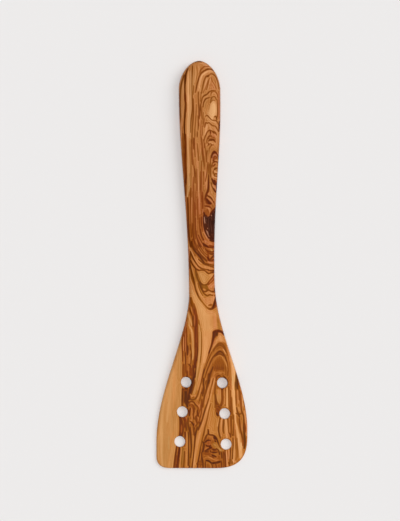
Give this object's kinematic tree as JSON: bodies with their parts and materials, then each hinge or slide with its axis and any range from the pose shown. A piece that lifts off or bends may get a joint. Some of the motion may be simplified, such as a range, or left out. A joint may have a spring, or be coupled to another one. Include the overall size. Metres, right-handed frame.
{
  "type": "perforated spatula",
  "caption": "Flat wooden kitchen spatula with a rounded grip, a narrow neck and a wide thin blade with drilled drain holes and one larger rounded corner.",
  "frame": {"origin": "on the flat back, under the middle of the spatula's length and width", "axes": "+Y from the working edge of the blade to the tip of the grip, +X to the right as the front face is seen with the grip up, +Z out of the front face"},
  "size_m": [0.0668, 0.3, 0.0104],
  "materials": {
    "olive_wood": "oiled olive wood with a satin sheen, golden brown with dark figure"
  },
  "bodies": {
    "root": {"spatula": "olive_wood"}
  },
  "joints": []
}
